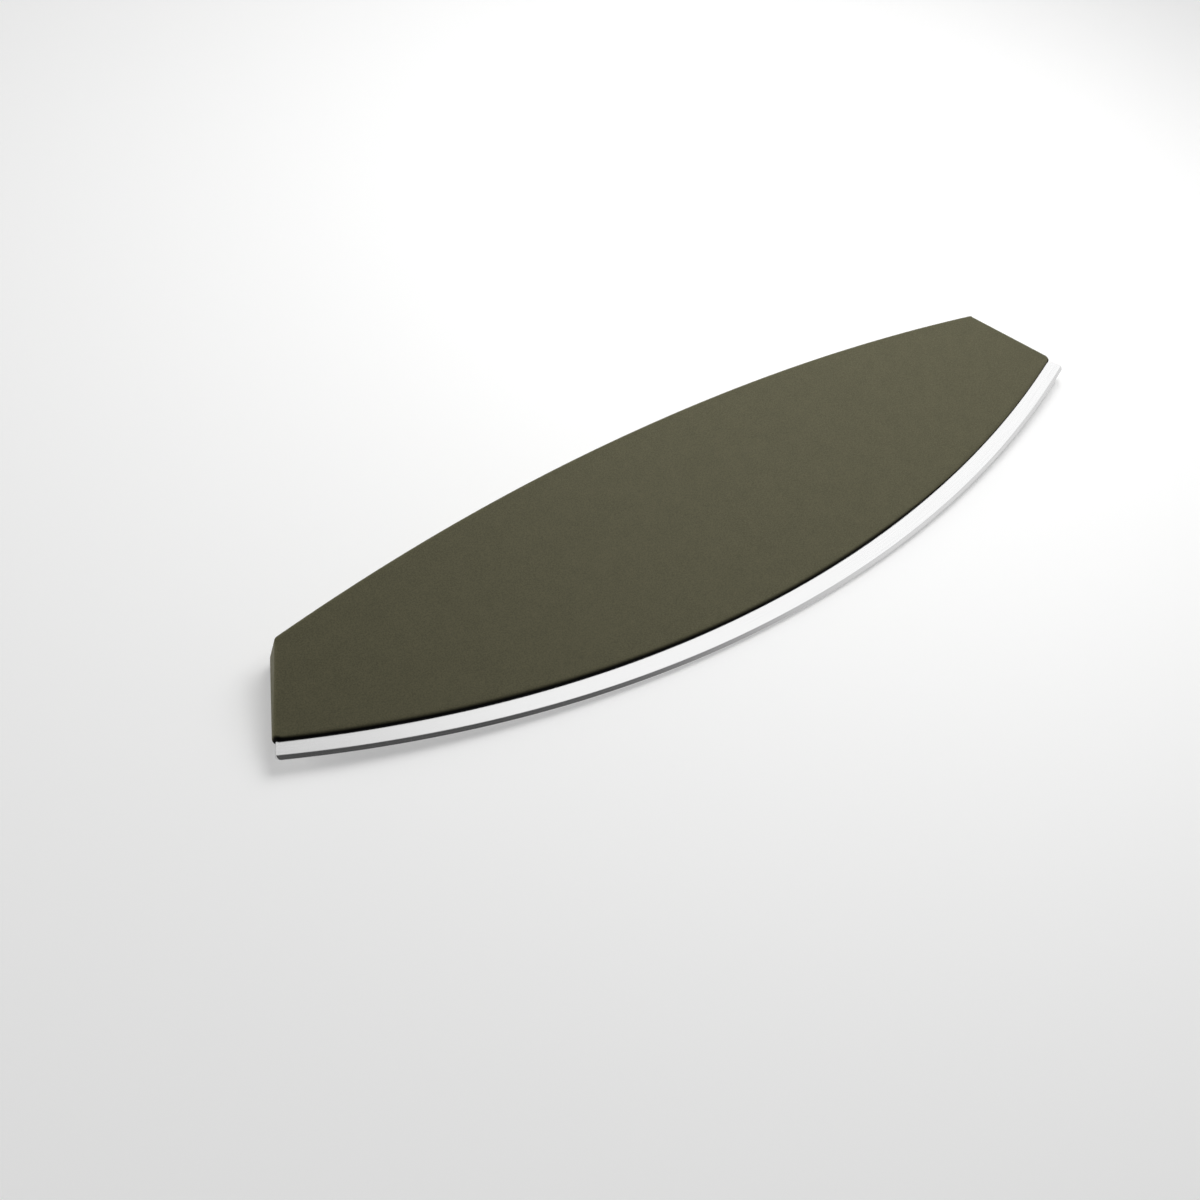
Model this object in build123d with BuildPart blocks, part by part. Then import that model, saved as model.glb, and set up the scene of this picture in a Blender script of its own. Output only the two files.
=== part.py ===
from build123d import *
import os
from math import atan, sin, cos, sqrt

os.makedirs("parts", exist_ok=True)

# Rocking pizza knife, lying on its rear face: a curved steel blade held between
# two moulded half shells. X runs along the knife, +Y from the cutting edge to
# the grip, +Z up. The origin is in the flat middle stretch of the rear face,
# straight below the line that joins the handle's two lower corners.

# Handle outline, seen square to the blade
handle_length = 366.0          # between the two lower corners
grip_length = 326.6            # between the two upper corners
end_rise = 29.7                # upper corners above the lower corners
grip_bow = 12.3                # the grip's arc above its upper corners
lip_bow = 35.6                 # the lip's arc below the lower corners
upper_corner_radius = 2.0
lower_corner_radius = 1.8

# Handle section
grip_thickness = 20.0          # at the middle of the grip
lip_thickness = 4.0            # where the blade comes out
level_length = 30.0            # flat middle stretch of each face
face_edge_radius = 0.9
seam_chamfer = 0.15            # hairline groove where the shells meet

# Shell walls
wall = 2.6
seat_width = 20.0              # solid band above the lip that grips the blade
rib_pitch = 33.0
rib_count = 9
rib_thickness = 1.6
tongue_width = 0.9
tongue_height = 1.0
tongue_start = 6.0             # lowest point of the tongue above the corners
fit_clearance = 0.2            # around the blade and the tongue

# Blade
blade_thickness = 1.6
end_reveal = 6.7               # blade that shows below a lower corner
middle_reveal = 7.3            # blade that shows at mid-length
blade_inset = 1.0              # blade end behind the handle's end face
tang_top = 14.0                # straight upper edge above the lower corners
blade_corner_radius = 1.5
bevel_height = 1.2
edge_width = 0.1               # flat left along the cutting edge

# Dowel pins through blade and shells
pin_diameter = 5.0
pin_seat = 2.6                 # length held in each shell
pin_count = 4
pin_height = 4.0               # pin axes above the lower corners
pin_clearance = 0.1            # radial, in the blade
pin_chamfer = 0.4
boss_wall = 3.0

# Sealing bead under each lip, flush with the lip
seal_thickness = 0.5
seal_height = 1.2

overrun = 5.0                  # how far a cutting shape passes its piece

# Values worked out from the sizes above
half_length = handle_length / 2
half_grip = grip_length / 2
half_blade = blade_thickness / 2
handle_height = end_rise + grip_bow + lip_bow
face_slope = (grip_thickness - lip_thickness) / 2 / handle_height
face_tilt = atan(face_slope)
face_fall = face_slope * lip_bow
flare = (half_length - half_grip) / end_rise
reach = half_length + flare * end_reveal + overrun
edge_bow = lip_bow + middle_reveal - end_reveal
blade_level = lip_bow * sin(face_tilt) + lip_thickness / 2 * cos(face_tilt)

# Mid-plane of the blade, tilted because the handle is a wedge lying on one face
blade_plane = Plane(
    origin=(0, 0, blade_level),
    x_dir=(1, 0, 0),
    z_dir=(0, -sin(face_tilt), cos(face_tilt)),
)

# Axis that the cutting edge curves about
edge_radius = (half_length**2 + edge_bow**2) / (2 * edge_bow)
edge_centre = edge_radius - edge_bow - end_reveal
edge_axis = Axis(blade_plane.from_local_coords((0, edge_centre, 0)), blade_plane.z_dir)


def arc_drop(x, half_chord, bow):
    """Distance of an arc from its chord, at x from the arc's middle."""
    radius = (half_chord**2 + bow**2) / (2 * bow)
    return sqrt(radius**2 - x**2) - (radius - bow)


def end_x(height, inset):
    """X of the handle's slanted end line at a height, set in square to it."""
    return half_length - flare * height - inset * sqrt(1 + flare**2)


def lip_arc(shift):
    """The lip's arc, raised by shift and carried on past both ends."""
    reach_height = shift - arc_drop(reach, half_length, lip_bow)
    return ThreePointArc((-reach, reach_height), (0, shift - lip_bow), (reach, reach_height))


def area_under_lip(shift):
    """Everything below the lip's arc, raised by shift."""
    floor = -lip_bow - middle_reveal - overrun
    reach_height = shift - arc_drop(reach, half_length, lip_bow)
    with BuildSketch(Plane.XY) as area:
        with BuildLine():
            lip_arc(shift)
            Polyline((reach, reach_height), (reach, floor), (-reach, floor), (-reach, reach_height))
        make_face()
    return area.sketch


def area_between_ends(inset, top):
    """The trapezium between the two end lines, set in, and below top."""
    floor = -lip_bow - middle_reveal - overrun
    low = end_x(floor, inset)
    high = end_x(top, inset)
    with BuildSketch(Plane.XY) as area:
        with BuildLine():
            Polyline((low, floor), (high, top), (-high, top), (-low, floor), close=True)
        make_face()
    return area.sketch


def pin_circles(radius):
    """A circle at each dowel pin's place."""
    with BuildSketch(Plane.XY) as circles:
        with Locations((0, pin_height)):
            with GridLocations(2 * rib_pitch, 0, pin_count, 1):
                Circle(radius)
    return circles.sketch


# Outline of the handle
with BuildSketch(Plane.XY) as handle_outline:
    with BuildLine():
        ThreePointArc((-half_length, 0), (0, -lip_bow), (half_length, 0))
        Line((half_length, 0), (half_grip, end_rise))
        ThreePointArc((half_grip, end_rise), (0, end_rise + grip_bow), (-half_grip, end_rise))
        Line((-half_grip, end_rise), (-half_length, 0))
    make_face()
    fillet(handle_outline.vertices().group_by(Axis.Y)[0], lower_corner_radius)
    fillet(handle_outline.vertices().group_by(Axis.Y)[-1], upper_corner_radius)

# Outline of the blade: the strip below the lip, and the tang inside the handle
with BuildSketch(Plane.XY) as blade_outline:
    reach_height = -end_reveal - arc_drop(reach, half_length, edge_bow)
    with BuildLine():
        ThreePointArc((-reach, reach_height), (0, -end_reveal - edge_bow), (reach, reach_height))
        Polyline((reach, reach_height), (reach, tang_top), (-reach, tang_top), (-reach, reach_height))
    make_face()
    add(area_between_ends(blade_inset, tang_top), mode=Mode.INTERSECT)
    fillet(blade_outline.vertices().group_by(Axis.Y)[0], blade_corner_radius)
    add(area_between_ends(wall + fit_clearance, tang_top) + area_under_lip(0), mode=Mode.INTERSECT)


def rear_block(outline, depth):
    """The part of an outline between blade mid-plane and rear face, less depth."""
    side_run = half_length - level_length / 2
    side_radius = (side_run**2 + face_fall**2) / (2 * face_fall)
    reach_rise = depth + side_radius - sqrt(side_radius**2 - (reach - level_length / 2) ** 2)
    with BuildPart() as block:
        with BuildSketch(blade_plane):
            add(outline)
        extrude(amount=-grip_thickness)
        with BuildSketch(Plane.XZ):
            with BuildLine():
                Line((-level_length / 2, depth), (level_length / 2, depth))
                TangentArc((level_length / 2, depth), (reach, reach_rise), tangent=(1, 0))
                TangentArc((-level_length / 2, depth), (-reach, reach_rise), tangent=(-1, 0))
                Polyline(
                    (reach, reach_rise),
                    (reach, grip_thickness),
                    (-reach, grip_thickness),
                    (-reach, reach_rise),
                )
            make_face()
        extrude(amount=handle_height, both=True, mode=Mode.INTERSECT)
    return block.part


# Outer form of the rear shell, with its edges rounded
with BuildPart() as rear_form:
    add(rear_block(handle_outline.sketch, 0))
    seam_face = rear_form.faces().filter_by(blade_plane)[0]
    chamfer(seam_face.edges(), seam_chamfer)
    rear_faces = rear_form.faces().filter_by(lambda face: face.normal_at().Z < -cos(face_tilt))
    rear_rim = rear_faces.edges() - rear_faces.edges().filter_by(Axis.Y)
    fillet(rear_rim, face_edge_radius)

# Hollow of the rear shell, less its ribs and bosses
with BuildPart() as rear_hollow:
    hollow_outline = offset(handle_outline.sketch, amount=-wall, mode=Mode.PRIVATE)
    add(rear_block(hollow_outline - area_under_lip(seat_width), wall))
    with BuildSketch(blade_plane):
        with GridLocations(rib_pitch, 0, rib_count, 1):
            Rectangle(rib_thickness, handle_height * 2)
        add(pin_circles(pin_diameter / 2 + boss_wall))
    extrude(amount=-grip_thickness, mode=Mode.SUBTRACT)

# Line that the tongue and its groove follow: spine and both ends, not the lip
with BuildSketch(Plane.XY) as tongue_loop:
    offset(handle_outline.sketch, amount=-(wall - tongue_width) / 2)
    offset(handle_outline.sketch, amount=-(wall + tongue_width) / 2, mode=Mode.SUBTRACT)
    with Locations((0, tongue_start)):
        Rectangle(handle_length, handle_height, align=(Align.CENTER, Align.MAX), mode=Mode.SUBTRACT)

# Room for the sealing bead between blade and lip, carried on below the lip
with BuildSketch(Plane.XY) as seal_room:
    add(area_between_ends(wall + fit_clearance, tang_top))
    add(area_under_lip(seal_height), mode=Mode.INTERSECT)
    add(area_under_lip(-overrun), mode=Mode.SUBTRACT)

# Room for the blade: around the tang, and over the shoulders under each lip
with BuildSketch(Plane.XY) as blade_pocket:
    add(area_between_ends(blade_inset - fit_clearance, tang_top))
    add(area_under_lip(fit_clearance), mode=Mode.INTERSECT)
    add(area_between_ends(wall, tang_top + fit_clearance))

# What both shells share: form less hollow, blade pocket, bead rebate and pin bores
with BuildPart() as half_shell:
    add(rear_form.part)
    add(rear_hollow.part, mode=Mode.SUBTRACT)
    with BuildSketch(blade_plane):
        add(blade_pocket.sketch)
    extrude(amount=-half_blade, mode=Mode.SUBTRACT)
    with BuildSketch(blade_plane):
        add(seal_room.sketch)
    extrude(amount=-half_blade - seal_thickness, mode=Mode.SUBTRACT)
    with BuildSketch(blade_plane):
        add(pin_circles(pin_diameter / 2))
    extrude(amount=-half_blade - pin_seat, mode=Mode.SUBTRACT)

# Rear shell, with the groove of the seam
with BuildPart() as rear_shell:
    add(half_shell.part)
    with BuildSketch(blade_plane):
        offset(tongue_loop.sketch, amount=fit_clearance / 2)
    extrude(amount=-tongue_height - fit_clearance, mode=Mode.SUBTRACT)
rear_shell.part.label = "rear_shell"
export_step(rear_shell.part, "parts/rear_shell.step")

# Front shell, with the tongue of the seam
with BuildPart() as front_shell:
    add(half_shell.part)
    mirror(about=blade_plane, mode=Mode.REPLACE)
    with BuildSketch(blade_plane):
        add(tongue_loop.sketch)
    extrude(amount=-tongue_height)
    with BuildSketch(blade_plane):
        add(tongue_loop.sketch)
    extrude(amount=wall)
front_shell.part.label = "front_shell"
export_step(front_shell.part, "parts/front_shell.step")

# Blade, with both bevels turned about the axis of the edge's arc
with BuildPart() as blade:
    with BuildSketch(blade_plane):
        add(blade_outline.sketch)
        add(pin_circles(pin_diameter / 2 + pin_clearance), mode=Mode.SUBTRACT)
    extrude(amount=half_blade, both=True)
    with BuildSketch(Plane(edge_axis.position, -blade_plane.y_dir, blade_plane.x_dir)):
        with BuildLine():
            Polyline(
                (edge_radius - bevel_height, half_blade),
                (edge_radius, edge_width / 2),
                (edge_radius + overrun, edge_width / 2),
                (edge_radius + overrun, half_blade + overrun),
                (edge_radius - bevel_height, half_blade + overrun),
                close=True,
            )
        make_face()
        mirror(about=Plane.XZ)
    revolve(axis=edge_axis, mode=Mode.SUBTRACT)
blade.part.label = "blade"
export_step(blade.part, "parts/blade.step")

# Dowel pins, a group of separate solids
with BuildPart() as dowel_pins:
    with BuildSketch(blade_plane):
        add(pin_circles(pin_diameter / 2))
    extrude(amount=half_blade + pin_seat, both=True)
    chamfer(dowel_pins.edges().filter_by(GeomType.CIRCLE), pin_chamfer)
dowel_pins.part.label = "dowel_pins"
export_step(dowel_pins.part, "parts/dowel_pins.step")

# Sealing bead under each lip, a group of separate solids
with BuildPart() as blade_seal:
    with BuildSketch(blade_plane.offset(half_blade)):
        add(seal_room.sketch)
        add(area_under_lip(0), mode=Mode.SUBTRACT)
    extrude(amount=seal_thickness)
    mirror(about=blade_plane)
blade_seal.part.label = "blade_seal"
export_step(blade_seal.part, "parts/blade_seal.step")
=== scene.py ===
import math

import bmesh
import bpy
import numpy as np
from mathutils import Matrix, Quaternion, Vector


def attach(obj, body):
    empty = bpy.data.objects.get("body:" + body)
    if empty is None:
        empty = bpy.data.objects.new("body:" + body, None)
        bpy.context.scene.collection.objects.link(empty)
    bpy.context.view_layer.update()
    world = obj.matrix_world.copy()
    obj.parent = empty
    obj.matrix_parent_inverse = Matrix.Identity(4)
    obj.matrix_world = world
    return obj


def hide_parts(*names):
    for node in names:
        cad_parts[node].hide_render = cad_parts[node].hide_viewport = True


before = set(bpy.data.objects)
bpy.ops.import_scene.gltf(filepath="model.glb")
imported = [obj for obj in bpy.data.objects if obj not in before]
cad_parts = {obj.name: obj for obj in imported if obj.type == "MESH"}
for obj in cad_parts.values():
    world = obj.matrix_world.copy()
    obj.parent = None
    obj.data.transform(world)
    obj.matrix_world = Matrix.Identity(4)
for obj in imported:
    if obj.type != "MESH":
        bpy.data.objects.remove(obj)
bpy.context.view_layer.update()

# Looks of the rocking pizza knife: a moulded handle of two half shells round a
# curved steel blade. It lies on its rear face, in metres, in the frame of the model.
# A place on the knife is x along it, v up the blade and w square to the blade.

# Handle, in the model's sizes
handle_length = 0.366          # between the two lower corners
grip_length = 0.3266           # between the two upper corners
end_rise = 0.0297              # upper corners above the lower corners
grip_bow = 0.0123
lip_bow = 0.0356
upper_corner_radius = 0.002
lower_corner_radius = 0.0018
grip_thickness = 0.020
lip_thickness = 0.004
level_length = 0.030           # flat middle stretch of each face
face_round = 0.0009            # rounding of the face's rim
end_round = 0.0014             # the same at the knife's ends
end_turn_shares = (0.6, 0.95)  # outward x where the rim leaves the one and reaches the other
lip_round = 0.0026             # the lip is rounder: this far up the face
lip_round_height = 0.0010      # and this far through its thickness
lip_round_end = 0.0025         # where that rounding ends before the corners
lip_round_start = 0.014        # and where it is full
lip_side_angle = 45.0          # degrees: the lip's outward direction is this near to straight down
seam_chamfer = 0.00015
rebate_depth = 0.0010          # room under the lip that holds the sealing bead
rebate_top = 0.0013
rebate_end = 0.0030

# Blade
blade_thickness = 0.0016
end_reveal = 0.0067
middle_reveal = 0.0073
blade_inset = 0.0010           # blade end behind the handle's end face
tang_inset = 0.0028
tang_top = 0.014
blade_corner_radius = 0.0015
bevel_height = 0.0012
bevel_shares = (0, 1 / 3, 2 / 3)  # rows up the bevel
edge_width = 0.0001
crease_width = 0.00012         # worn rounding where the bevel meets the flat
crease_rows = (-3, -1, 0, 1, 3)  # rows about the crease, in widths of it
blade_chamfer = 0.00012

# Steps of the surfaces
arc_steps = 240
end_steps = 28
corner_steps = 8
round_steps = 8
blade_steps = 260
merge_distance = 1e-7
slope_step = 1e-5              # inward, over which the face's slope is taken
sharp_angle = 32.0             # degrees

# Values worked out from the sizes above
half_length = handle_length / 2
half_grip = grip_length / 2
half_blade = blade_thickness / 2
flare = (half_length - half_grip) / end_rise
end_slant = math.hypot(1, flare)
face_slope = (grip_thickness - lip_thickness) / 2 / (end_rise + grip_bow + lip_bow)
face_tilt = math.atan(face_slope)
blade_level = lip_bow * math.sin(face_tilt) + lip_thickness / 2 * math.cos(face_tilt)


def arc_radius(chord, bow):
    """Radius of an arc from its chord and its bow."""
    return (chord**2 / 4 + bow**2) / (2 * bow)


lip_radius = arc_radius(handle_length, lip_bow)
lip_centre = lip_radius - lip_bow
grip_radius = arc_radius(grip_length, grip_bow)
grip_centre = end_rise + grip_bow - grip_radius
side_radius = arc_radius(handle_length - level_length, face_slope * lip_bow)
edge_bow = lip_bow + middle_reveal - end_reveal
edge_radius = arc_radius(handle_length, edge_bow)
edge_centre = edge_radius - edge_bow - end_reveal
bevel_slope = (half_blade - edge_width / 2) / bevel_height

# Camera, as the photograph shows the knife
camera_aim = Vector((-0.0522, -0.0030, -0.0001))
camera_distance = 0.7397
camera_azimuth = -51.79        # degrees: 0 looks along +Y, 90 along -X
camera_elevation = 46.53
camera_roll = 16.14
camera_lens = 66.0             # millimetres, on a sensor 36 mm wide

# Studio: azimuths are in degrees from +Y towards +X, and a light of 1 is white
far_light = 0.93               # the world beyond the knife
near_light = 0.09              # the world overhead and behind the camera
near_azimuth = 230.0
near_elevation = 45.0
far_share = 0.18               # cosine with the near direction where the far light ends
near_share = 0.56              # and where the near light begins
matte_share = 0.4              # of the world's light that the matte surfaces get
softbox_size = 0.95
softbox_azimuth = 76.0
softbox_elevation = 42.0
softbox_distance = 1.05
softbox_light = 0.40
side_size = 0.4
side_azimuth = 58.5
side_elevation = 60.5
side_distance = 0.45
side_light = 4.25
fill_size = 0.6
fill_azimuth = -60.0
fill_elevation = 8.0
fill_distance = 1.2
fill_light = 8.0
floor_size = 30.0
floor_colour = (0.60, 0.60, 0.597, 1)
floor_glow = (0.35, 0.35, 0.35, 1)  # seen by the camera and in the steel alone
floor_roughness = 0.9
black = (0, 0, 0, 1)
white = (1, 1, 1, 1)


def unit(angle):
    """Unit directions at angles from +X."""
    return np.stack([np.cos(angle), np.sin(angle)], axis=-1)


def turn_of(direction):
    """Angle of a direction from +X."""
    return math.atan2(direction[1], direction[0])


def smooth(value, low, high):
    """Smooth step of values from low to high: 3 t^2 - 2 t^3."""
    share = np.clip((value - low) / (high - low), 0, 1)
    return share**2 * (3 - 2 * share)


def travel(points):
    """Share of the way along a line of points, by its length."""
    gone = np.append(0, np.cumsum(np.linalg.norm(np.diff(points, axis=0), axis=1)))
    return gone / gone[-1]


def place(x, v, w):
    """Points in the frame of the model, from x, v and w: v and w are turned by the tilt."""
    y = v * math.cos(face_tilt) - w * math.sin(face_tilt)
    z = blade_level + v * math.sin(face_tilt) + w * math.cos(face_tilt)
    return np.stack(np.broadcast_arrays(x, y, z), axis=-1)


def build(name, grids, material):
    """A mesh of grids of points, each joined into quads, with shared edges merged, normals
    turned outward, and an edge sharp where its faces meet at more than the sharp angle."""
    points, faces, start = [], [], 0
    for grid in grids:
        rows, columns = grid.shape[:2]
        index = start + np.arange(rows * columns).reshape(rows, columns)
        corners = [index[:-1, :-1], index[1:, :-1], index[1:, 1:], index[:-1, 1:]]
        faces.append(np.stack(corners, axis=-1).reshape(-1, 4))
        points.append(grid.reshape(-1, 3))
        start += rows * columns
    mesh = bpy.data.meshes.new(name)
    mesh.from_pydata(np.concatenate(points), [], np.concatenate(faces))
    shape = bmesh.new()
    shape.from_mesh(mesh)
    bmesh.ops.remove_doubles(shape, verts=shape.verts, dist=merge_distance)
    bmesh.ops.recalc_face_normals(shape, faces=shape.faces)
    shape.to_mesh(mesh)
    shape.free()
    mesh.shade_smooth()
    mesh.set_sharp_from_angle(angle=math.radians(sharp_angle))
    mesh.materials.append(material)
    piece = bpy.data.objects.new(name, mesh)
    bpy.context.scene.collection.objects.link(piece)
    return piece


# Handle
end_normal = np.array([end_rise, half_length - half_grip]) / (end_rise * end_slant)
end_direction = np.array([-end_normal[1], end_normal[0]])
end_offset = end_normal[0] * half_length


def arc_stretch(centre, radius, start, end, steps):
    """Points centre + radius * direction along an arc, each with its direction."""
    direction = unit(np.linspace(start, end, steps + 1))
    return centre + radius * direction, direction


def corner_centre(arc_centre, arc_radius, corner_radius, side, inset=0):
    """Centre of a rounded corner between the right end line, set in, and an arc: in from both
    by its radius, at the arc's upper (side 1) or lower (side -1) crossing with the line."""
    foot = end_normal * (end_offset - inset - corner_radius)
    from_arc = foot - arc_centre
    along = from_arc @ end_direction
    run = math.sqrt(along**2 - from_arc @ from_arc + (arc_radius - corner_radius) ** 2)
    return foot + end_direction * (side * run - along)


def handle_outline():
    """Outline of the handle from the middle of its lower left corner, counterclockwise:
    points and outward directions. The right half is the lip arc, a corner, the end line, a
    corner and the grip arc; the left half is its mirror image."""
    lip_middle, grip_middle = np.array([0, lip_centre]), np.array([0, grip_centre])
    lower = corner_centre(lip_middle, lip_radius, lower_corner_radius, -1)
    upper = corner_centre(grip_middle, grip_radius, upper_corner_radius, 1)
    lip_turn, grip_turn, end_turn = map(turn_of, (lower - lip_middle, upper - grip_middle, end_normal))
    line_start = lower + end_normal * lower_corner_radius
    line_end = upper + end_normal * upper_corner_radius
    share = np.linspace(0, 1, end_steps + 1)[:, None]
    stretches = [
        arc_stretch(lip_middle, lip_radius, -math.pi / 2, lip_turn, arc_steps // 2),
        arc_stretch(lower, lower_corner_radius, lip_turn, end_turn, corner_steps),
        (line_start + share * (line_end - line_start), np.tile(end_normal, (end_steps + 1, 1))),
        arc_stretch(upper, upper_corner_radius, end_turn, grip_turn, corner_steps),
        arc_stretch(grip_middle, grip_radius, grip_turn, math.pi / 2, arc_steps // 2),
    ]
    right = np.concatenate([np.hstack(stretch)[:-1] for stretch in stretches])
    top = np.array([[0, grip_centre + grip_radius, 0, 1]])
    left = np.vstack([top, right[:0:-1]]) * [-1, 1, -1, 1]
    loop = np.roll(np.vstack([right, left]), (arc_steps + corner_steps) // 2, axis=0)
    return loop[:, :2], loop[:, 2:]


def patch(loop):
    """Grid between the four sides of a loop: each point's place between left and right, plus
    its place between bottom and top, less its place between the four corners."""
    across, up = arc_steps + corner_steps, end_steps + corner_steps
    closed = np.vstack([loop, loop[:1]])
    bottom = closed[: across + 1, None]
    right = closed[None, across : across + up + 1]
    top = closed[across + up : 2 * across + up + 1][::-1, None]
    left = closed[2 * across + up :][None, ::-1]
    u = travel(bottom[:, 0])[:, None, None]
    t = travel(left[0])[None, :, None]
    low = (1 - u) * bottom[:1] + u * bottom[-1:]
    high = (1 - u) * top[:1] + u * top[-1:]
    return (1 - t) * (bottom - low) + t * (top - high) + (1 - u) * left + u * right


def half_thickness(x, v):
    """Thickness of the handle on each side of the blade's mid-plane: a wedge that grows with
    v, less the arc by which the face falls past its level middle stretch."""
    past = np.clip(np.abs(x) - level_length / 2, 0, None)
    fall = side_radius - np.sqrt(side_radius**2 - past**2)
    return (blade_level + v * math.sin(face_tilt) - fall) / math.cos(face_tilt)


def rim_rounding(base, outward, on_lip):
    """How far the rounding of the face's rim reaches inward over the face, and up the wall. It
    is larger at the knife's ends, and broad along the lip."""
    broad = smooth(half_length - np.abs(base[:, 0]), lip_round_end, lip_round_start) * on_lip
    at_end = smooth(np.abs(outward[:, 0]), *end_turn_shares)
    rim = face_round + (end_round - face_round) * at_end
    return rim + (lip_round - rim) * broad, rim + (lip_round_height - rim) * broad


def cover_rings():
    """Section of a half shell, carried round the outline as rings: their points, and their
    heights over the blade's mid-plane. It goes from the mid-plane out to the wall, up the
    wall, and over a rounding that is part of an ellipse, a - a cos(turn) inward and b sin(turn)
    up, until it runs along the face. Under the lip it leaves the room for the sealing bead."""
    base, outward = handle_outline()
    on_lip = outward[:, 1] < -math.cos(math.radians(lip_side_angle))
    inward, upward = rim_rounding(base, outward, on_lip)
    edge_half = half_thickness(*base.T)
    inside = base - outward * slope_step
    slope = (half_thickness(*inside.T) - edge_half) / slope_step
    squashed = slope * inward / upward
    turn = np.linspace(0, 1, round_steps + 1)[:, None] * (math.pi / 2 - np.arctan(squashed))
    insets = inward * (1 - np.cos(turn))
    heights = edge_half + upward * (squashed - np.hypot(1, squashed) + np.sin(turn))
    in_rebate = on_lip & (np.abs(base[:, 0]) < half_length - rebate_end)
    foot_inset = np.where(in_rebate, rebate_depth, seam_chamfer)
    roof = np.where(in_rebate, rebate_top, 0)
    wall_foot = np.where(in_rebate, rebate_top, seam_chamfer)
    level = np.zeros(len(base))
    insets = np.vstack([foot_inset, foot_inset, level, insets])
    heights = np.vstack([level, roof, wall_foot, heights])
    rings = base - insets[..., None] * outward
    # The last ring lies on the face
    heights[-1] = half_thickness(*rings[-1].T)
    return rings, heights


def cover(name, side, material):
    """Half shell in front of (side 1) or behind (side -1) the blade's mid-plane: the wall
    along its rings, and two patches that close it, its face and its side at the mid-plane."""
    rings, heights = cover_rings()
    wall = place(rings[..., 0], rings[..., 1], side * heights)
    wall = np.concatenate([wall, wall[:, :1]], axis=1)
    face_x, face_v = np.moveaxis(patch(rings[-1]), -1, 0)
    face = place(face_x, face_v, side * half_thickness(face_x, face_v))
    seam_x, seam_v = np.moveaxis(patch(rings[0]), -1, 0)
    seam = place(seam_x, seam_v, np.zeros(seam_x.shape))
    return build(name, [wall, face, seam], material)


# Blade
def arc_height(x, centre, radius):
    """Height v of the lower side of an arc whose centre is at x = 0."""
    return centre - np.sqrt(radius**2 - x**2)


def end_line_x(v, inset):
    """X of the right end line at a height v, set in square to it."""
    return half_length - flare * v - inset * end_slant


def end_line_v(x, inset):
    """Height v of the right end line at x, set in square to it."""
    return (half_length - inset * end_slant - x) / flare


def lip_crossing(x, inset):
    """The one of the places x at which the right end line, set in, is nearest to the lip."""
    gap = end_line_v(x, inset) - arc_height(x, lip_centre, lip_radius)
    return x[np.argmin(np.abs(gap))]


def blade_outline():
    """Columns of the blade at x, with the heights of its lower and its upper line. The lower
    line is the arc of the cutting edge, with a rounded corner at each end. The upper line is
    the tang's top and slanted ends, then the lip, then the blade's slanted ends."""
    corner = corner_centre(
        np.array([0, edge_centre]), edge_radius, blade_corner_radius, -1, blade_inset
    )
    low_x = corner[0] * edge_radius / (edge_radius - blade_corner_radius)
    tip_x = corner[0] + blade_corner_radius
    line_x = corner[0] + end_normal[0] * blade_corner_radius
    tang_x = end_line_x(tang_top, tang_inset)
    past_tang = np.linspace(tang_x, low_x, blade_steps)
    heel_x = lip_crossing(past_tang, tang_inset)
    shoulder_x = lip_crossing(past_tang, blade_inset)
    stretches = [
        np.linspace(0, tang_x, blade_steps // 2),
        np.linspace(tang_x, heel_x, corner_steps),
        np.linspace(heel_x, shoulder_x, corner_steps),
        np.linspace(shoulder_x, low_x, corner_steps),
        low_x + (tip_x - low_x) * np.sin(np.linspace(0, math.pi / 2, corner_steps + 1)),
        [line_x],
    ]
    right = np.unique(np.concatenate(stretches))
    x = np.concatenate([-right[:0:-1], right])
    far = np.abs(x)
    round_rise = np.sqrt(np.clip(blade_corner_radius**2 - (far - corner[0]) ** 2, 0, None))
    edge_v = arc_height(np.minimum(far, low_x), edge_centre, edge_radius)
    bottom = np.where(far > low_x, corner[1] - round_rise, edge_v)
    tang_v = np.minimum(tang_top, end_line_v(far, tang_inset))
    top = np.where(far > heel_x, arc_height(far, lip_centre, lip_radius), tang_v)
    top = np.minimum(top, end_line_v(far, blade_inset))
    top = np.where(far > line_x, corner[1] + round_rise, top)
    return x, bottom, top


def blade_half_thickness(x, v):
    """The lesser of the flat's half thickness and the bevel's, which grows with the distance
    from the edge. Where they differ by less than the rise of the crease, it loses
    (rise - difference)^2 / (4 rise), which rounds the crease."""
    from_edge = edge_radius - np.hypot(x, v - edge_centre)
    bevel = edge_width / 2 + from_edge * bevel_slope
    rise = crease_width * bevel_slope
    left = np.clip(rise - np.abs(bevel - half_blade), 0, None)
    return np.minimum(bevel, half_blade) - left**2 / (4 * rise)


def blade_plate(name, material):
    """Blade with its tang: in each column of its outline, rows up the bevel, round its crease,
    over the flat and down a small chamfer. Front and rear are the same, joined at the rim."""
    x, bottom, top = blade_outline()
    reaches = [bevel_height * share for share in bevel_shares]
    reaches += [bevel_height + crease_width * row for row in crease_rows]
    rows = [arc_height(x, edge_centre, edge_radius - reach) for reach in reaches]
    rows = np.clip(np.array(rows), bottom, top)
    rows[0] = bottom
    up_shares = np.linspace(0, 1, corner_steps)[1:, None]
    upper = rows[-1] + up_shares * np.clip(top - blade_chamfer - rows[-1], 0, None)
    rows = np.vstack([rows, upper, top])
    half = blade_half_thickness(x, rows)
    half[-1] = np.minimum(half[-1], half_blade - blade_chamfer)
    half = np.clip(half, edge_width / 2, None)
    front, rear = place(x, rows, half), place(x, rows, -half)
    rims = [np.stack([front[k], rear[k]]) for k in (0, -1)]
    tips = [np.stack([front[:, k], rear[:, k]]) for k in (0, -1)]
    return build(name, [front, rear, *rims, *tips], material)


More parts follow.
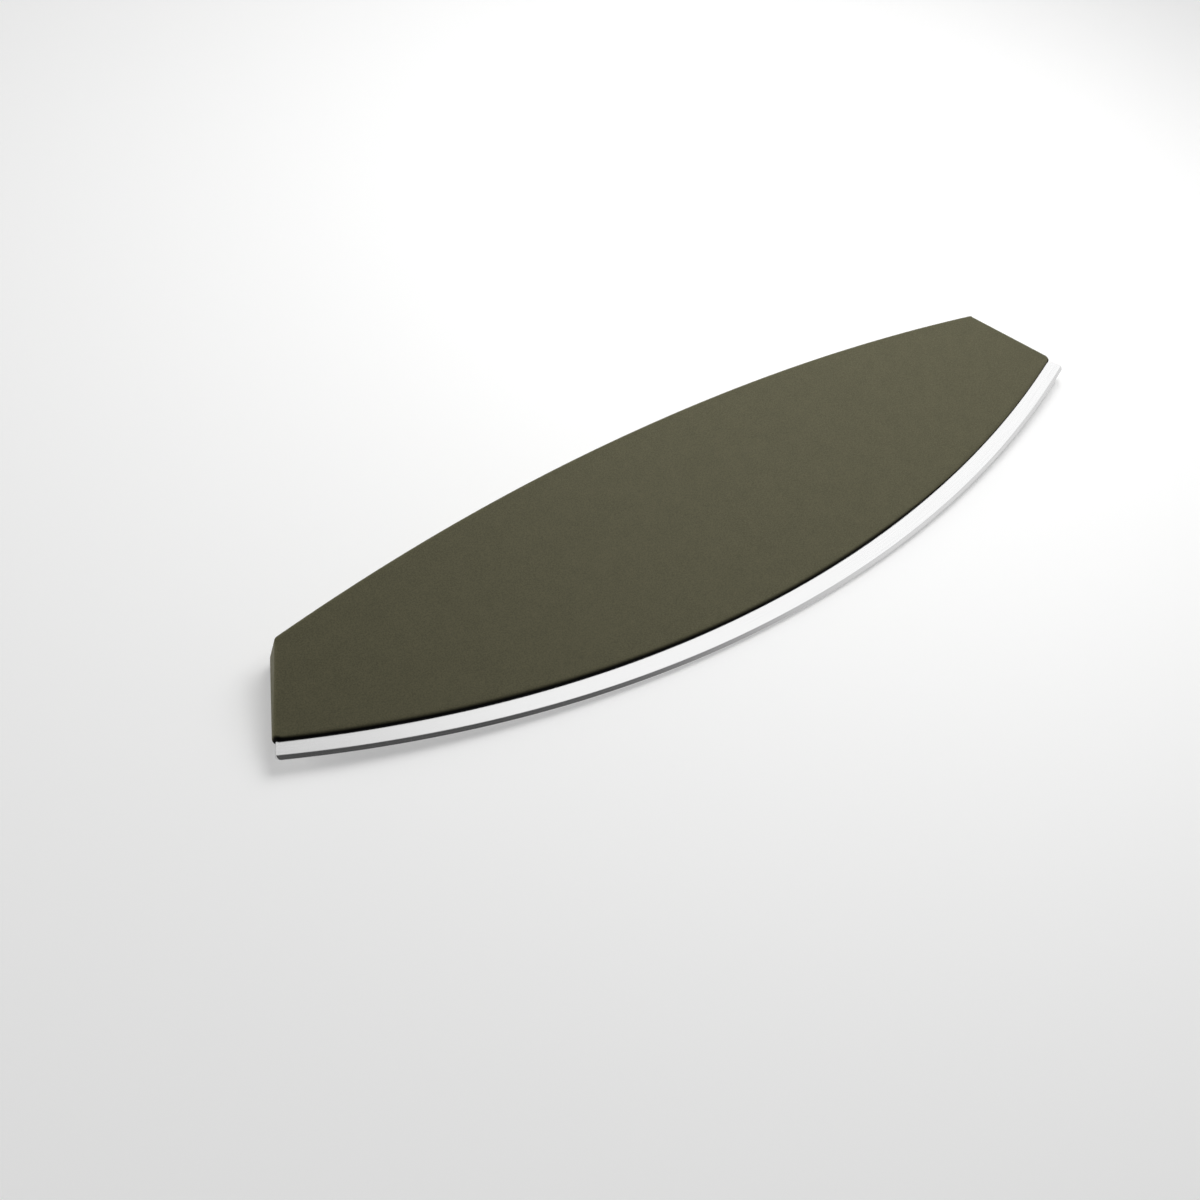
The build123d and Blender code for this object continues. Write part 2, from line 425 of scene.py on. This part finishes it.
class Value:
    """A number that varies over a surface. Operators on it add Math nodes to its tree."""

    def __init__(self, finish, socket):
        self.finish = finish
        self.socket = socket

    def __add__(self, other):
        return self.finish.math("ADD", self, other)

    def __sub__(self, other):
        return self.finish.math("SUBTRACT", self, other)

    def __rsub__(self, other):
        return self.finish.math("SUBTRACT", other, self)

    def __mul__(self, other):
        return self.finish.math("MULTIPLY", self, other)

    def __truediv__(self, other):
        return self.finish.math("DIVIDE", self, other)

    def __pow__(self, other):
        return self.finish.math("POWER", self, other)

    __radd__ = __add__
    __rmul__ = __mul__


# Places of the sockets that a Mix node uses for colours
mix_factor, mix_first, mix_second, mix_result = 0, 6, 7, 2


class Finish:
    """A tree of shader nodes, for a material or for the world."""

    def __init__(self, owner):
        owner.use_nodes = True
        self.tree = owner.node_tree

    def node(self, kind, settings=None, values=None):
        """A node of a type: its settings are set first, then its sockets take values or links."""
        made = self.tree.nodes.new(kind)
        for name, value in (settings or {}).items():
            setattr(made, name, value)
        for name, value in (values or {}).items():
            self.feed(made.inputs[name], value)
        return made

    def feed(self, socket, value):
        """Links a Value or a socket to a socket, or sets a constant on it."""
        source = value.socket if isinstance(value, Value) else value
        if isinstance(source, bpy.types.NodeSocket):
            self.tree.links.new(source, socket)
        else:
            socket.default_value = source

    def value(self, node, output):
        return Value(self, node.outputs[output])

    def math(self, operation, *terms):
        node = self.node("ShaderNodeMath", {"operation": operation}, dict(enumerate(terms)))
        return self.value(node, 0)

    def ramp(self, value, low, high, to_low=0.0, to_high=1.0):
        """Smooth step from to_low to to_high, as a value goes from low to high."""
        node = self.node(
            "ShaderNodeMapRange",
            {"interpolation_type": "SMOOTHSTEP"},
            {"Value": value, "From Min": low, "From Max": high, "To Min": to_low, "To Max": to_high},
        )
        return self.value(node, "Result")

    def mix(self, factor, first, second):
        """Colour between two colours."""
        values = {mix_factor: factor, mix_first: first, mix_second: second}
        return self.node("ShaderNodeMix", {"data_type": "RGBA"}, values).outputs[mix_result]

    def noise(self, vector, scale, detail):
        """Smooth noise about 0.5."""
        values = {"Vector": vector, "Scale": scale, "Detail": detail}
        return self.value(self.node("ShaderNodeTexNoise", values=values), "Fac")

    def bump(self, height, depth):
        """Normal of a surface whose height, from 0 to 1, stands for a depth."""
        values = {"Height": height, "Strength": bump_strength, "Distance": depth}
        return self.node("ShaderNodeBump", values=values).outputs["Normal"]

    def seen(self):
        """One for rays from the camera and for mirrored or clear ones, nought for the rest."""
        path = self.node("ShaderNodeLightPath")
        rays = [self.value(path, f"Is {kind} Ray") for kind in ("Camera", "Glossy", "Transmission")]
        return self.math("MAXIMUM", self.math("MAXIMUM", rays[0], rays[1]), rays[2])

    def vector(self, *parts):
        node = self.node("ShaderNodeCombineXYZ", values=dict(zip("XYZ", parts)))
        return node.outputs["Vector"]


def new_material(name, values):
    """A material with one principled surface, and its constants set on the surface."""
    material = bpy.data.materials.new(name)
    finish = Finish(material)
    surface = finish.tree.nodes["Principled BSDF"]
    for socket, value in values.items():
        finish.feed(surface.inputs[socket], value)
    return material, finish, surface


def object_point(finish):
    """Object coordinates of a surface, as a vector."""
    return finish.node("ShaderNodeTexCoord").outputs["Object"]


def knife_place(finish):
    """Object coordinates of a surface, as x, v and w."""
    parts = finish.node("ShaderNodeSeparateXYZ", values={"Vector": object_point(finish)})
    x, y, z = (finish.value(parts, axis) for axis in "XYZ")
    rise = z - blade_level
    v = y * math.cos(face_tilt) + rise * math.sin(face_tilt)
    w = rise * math.cos(face_tilt) - y * math.sin(face_tilt)
    return x, v, w


def from_centre(finish, x, v, centre):
    """Distance of a place from an arc's centre."""
    rise = v - centre
    return (x * x + rise * rise) ** 0.5


# Shared by the materials
noise_shares = (0.3, 0.7)      # of the noise's range, over which a tone changes
noise_detail = 2.0
bump_strength = 0.5

# Moulded plastic
plastic_dark = (0.0753, 0.0710, 0.0421, 1)
plastic_light = (0.1107, 0.1042, 0.0618, 1)
# Near-black colour of the painted shade, in the lip's rounding and in the pits
painted_shade = (0.001, 0.001, 0.001, 1)
plastic_ior = 1.46
plastic_specular = 0.13
plastic_roughness = 0.52
grain_roughness = 0.10         # more where the grain is light
shade_roughness = 0.3          # more in the lip's painted shade
cloud_size = 0.0060
grain_size = 0.00045
cloud_share = 0.15             # of the colour's change, the rest is grain
grain_depth = 0.00001
lip_shade_height = 0.0014      # painted shade in the rounding of the lip
lip_shade_fade = 0.75          # share by which the painted shade narrows towards the right end, where more light falls
fade_start, fade_end = 0.04, 0.11  # along x
corner_shade = 0.0010          # how much higher the painted shade reaches at the lower corners
corner_shade_start = 0.1795    # from the middle
pit_spacing = 0.0024           # in depth too: few of them touch the surface
pit_radius = 0.00022
pit_shade = 0.35               # share of the painted shade's colour in a pit


def moulded_plastic():
    """Matte olive plastic: faint clouds, fine grain, sparse pits darkened with painted shade, and painted
    shade in the lip's rounding.
    """
    values = {"IOR": plastic_ior, "Specular IOR Level": plastic_specular}
    material, finish, surface = new_material("moulded_olive_plastic", values)
    point = object_point(finish)
    x, v = knife_place(finish)[:2]
    cloud = finish.ramp(finish.noise(point, 1 / cloud_size, noise_detail), *noise_shares)
    grain = finish.ramp(finish.noise(point, 1 / grain_size, noise_detail), *noise_shares)
    colour = finish.mix(cloud * cloud_share + grain * (1 - cloud_share), plastic_dark, plastic_light)
    # Pits: small dents in the bump, darkened with painted shade
    pits = finish.node("ShaderNodeTexVoronoi", values={"Vector": point, "Scale": 1 / pit_spacing})
    pit = finish.ramp(finish.value(pits, "Distance"), pit_radius / pit_spacing, 0)
    colour = finish.mix(pit * pit_shade, colour, painted_shade)
    # Painted shade along the lip: the colour goes to near black in the lip's rounding, reaching higher at
    # the lower corners and narrowing towards the right end
    far = finish.math("ABSOLUTE", x)
    corner = finish.ramp(far, corner_shade_start, half_length) * corner_shade
    height = lip_radius - from_centre(finish, x, v, lip_centre) - corner
    height = height / (1 - lip_shade_fade * finish.ramp(x, fade_start, fade_end))
    shade = finish.ramp(height, lip_shade_height, 0)
    colour = finish.mix(shade, colour, painted_shade)
    roughness = plastic_roughness + grain_roughness * grain + shade_roughness * shade
    finish.feed(surface.inputs["Base Color"], colour)
    finish.feed(surface.inputs["Roughness"], roughness)
    finish.feed(surface.inputs["Normal"], finish.bump(grain - pit, grain_depth))
    return material


# Brushed steel
steel_dark = (0.685, 0.685, 0.685, 1)
steel_light = (0.775, 0.775, 0.775, 1)
streak_length = 0.022
streak_width = 0.00009
streak_depth = 0.0000008
streak_detail = 3.0
streak_shares = (0.25, 0.75)   # of the noise's range
steel_roughness = 0.18
streak_roughness = 0.08        # more where a streak is light


def brushed_steel():
    """Steel brushed along the blade: long thin streaks that follow the edge's arc."""
    material, finish, surface = new_material("brushed_steel", {"Metallic": 1.0})
    x, v, w = knife_place(finish)
    reach = from_centre(finish, x, v, edge_centre)
    turn = finish.math("ARCTAN2", x, edge_centre - v)
    along = finish.vector(turn * (edge_radius / streak_length), reach / streak_width, w / streak_width)
    streak = finish.noise(along, 1.0, streak_detail)
    tone = finish.ramp(streak, *streak_shares)
    finish.feed(surface.inputs["Base Color"], finish.mix(tone, steel_dark, steel_light))
    finish.feed(surface.inputs["Roughness"], steel_roughness + streak_roughness * tone)
    finish.feed(surface.inputs["Normal"], finish.bump(streak, streak_depth))
    return material


# Black rubber
rubber_dark = (0.002, 0.002, 0.002, 1)
rubber_light = (0.006, 0.006, 0.006, 1)
rubber_ior = 1.5
rubber_specular = 0.15
rubber_roughness = 0.6
rubber_grain_size = 0.0004
rubber_grain_roughness = 0.15


def black_rubber():
    """Black rubber of the sealing beads, finely grained."""
    values = {"IOR": rubber_ior, "Specular IOR Level": rubber_specular}
    material, finish, surface = new_material("black_rubber", values)
    grain = finish.noise(object_point(finish), 1 / rubber_grain_size, noise_detail)
    finish.feed(surface.inputs["Base Color"], finish.mix(grain, rubber_dark, rubber_light))
    finish.feed(surface.inputs["Roughness"], rubber_roughness + rubber_grain_roughness * grain)
    return material


def point_along(azimuth, elevation, distance):
    """The point at a distance from the origin, azimuth turned from +Y towards +X."""
    turn, rise = math.radians(azimuth), math.radians(elevation)
    level = distance * math.cos(rise)
    return Vector((level * math.sin(turn), level * math.cos(turn), distance * math.sin(rise)))


def make_camera():
    """The camera looks at its aim from a distance, turned about its own axis by the roll."""
    data = bpy.data.cameras.new("camera")
    camera = bpy.data.objects.new("camera", data)
    bpy.context.scene.collection.objects.link(camera)
    back = point_along(180 - camera_azimuth, camera_elevation, 1.0)
    camera.location = camera_aim + back * camera_distance
    camera.rotation_mode = "QUATERNION"
    roll = Quaternion((0, 0, 1), math.radians(camera_roll))
    camera.rotation_quaternion = (-back).to_track_quat("-Z", "Y") @ roll
    data.lens = camera_lens
    bpy.context.scene.camera = camera


def make_world():
    """White beyond the knife and dark behind the camera, by the cosine of the direction with
    the near direction. The camera and the steel see it in full, the matte surfaces a share."""
    world = bpy.data.worlds.new("studio")
    bpy.context.scene.world = world
    finish = Finish(world)
    near = point_along(near_azimuth, near_elevation, 1.0)
    direction = finish.node("ShaderNodeTexCoord").outputs["Generated"]
    cosine = finish.node("ShaderNodeVectorMath", {"operation": "DOT_PRODUCT"}, {0: direction, 1: near})
    light = finish.ramp(finish.value(cosine, "Value"), far_share, near_share, far_light, near_light)
    light = light * (matte_share + (1 - matte_share) * finish.seen())
    background = finish.tree.nodes["Background"]
    finish.feed(background.inputs["Color"], white)
    finish.feed(background.inputs["Strength"], light)


def make_lamp(name, azimuth, elevation, distance, size, light, mirrored):
    """A square area lamp that faces the knife. Its power is its light times pi and its area.
    One that isn't mirrored lights the matte surfaces alone."""
    data = bpy.data.lights.new(name, "AREA")
    data.shape = "SQUARE"
    data.size = size
    data.energy = light * math.pi * size**2
    lamp = bpy.data.objects.new(name, data)
    lamp.location = point_along(azimuth, elevation, distance)
    lamp.rotation_euler = lamp.location.to_track_quat("Z", "Y").to_euler()
    lamp.visible_glossy = mirrored
    lamp.visible_camera = False
    bpy.context.scene.collection.objects.link(lamp)


def make_floor():
    """A plain pale floor under the object."""
    half = floor_size / 2
    mesh = bpy.data.meshes.new("floor")
    corners = [(-half, -half, 0), (half, -half, 0), (half, half, 0), (-half, half, 0)]
    mesh.from_pydata(corners, [], [(0, 1, 2, 3)])
    floor = bpy.data.objects.new("floor", mesh)
    bpy.context.scene.collection.objects.link(floor)
    values = {"Base Color": floor_colour, "Roughness": floor_roughness, "Emission Strength": 1.0}
    material, finish, surface = new_material("pale_floor", values)
    finish.feed(surface.inputs["Emission Color"], finish.mix(finish.seen(), black, floor_glow))
    mesh.materials.append(material)


make_camera()
make_world()
make_lamp("softbox", softbox_azimuth, softbox_elevation, softbox_distance, softbox_size, softbox_light, True)
make_lamp("side", side_azimuth, side_elevation, side_distance, side_size, side_light, False)
make_lamp("fill", fill_azimuth, fill_elevation, fill_distance, fill_size, fill_light, False)
make_floor()

plastic, steel, rubber = moulded_plastic(), brushed_steel(), black_rubber()
pieces = [
    (cover("front_cover", 1, plastic), "front_shell", "handle_plastic"),
    (cover("rear_cover", -1, plastic), "rear_shell", "handle_plastic"),
    (blade_plate("ground_blade", steel), "blade", "blade_steel"),
]
for piece, node, slot in pieces:
    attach(piece, "root")
    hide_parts(node)
for node, material in (("dowel_pins", steel), ("blade_seal", rubber)):
    for material_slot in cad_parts[node].material_slots:
        material_slot.material = material

bpy.context.scene.view_settings.view_transform = "Standard"
bpy.context.view_layer.update()
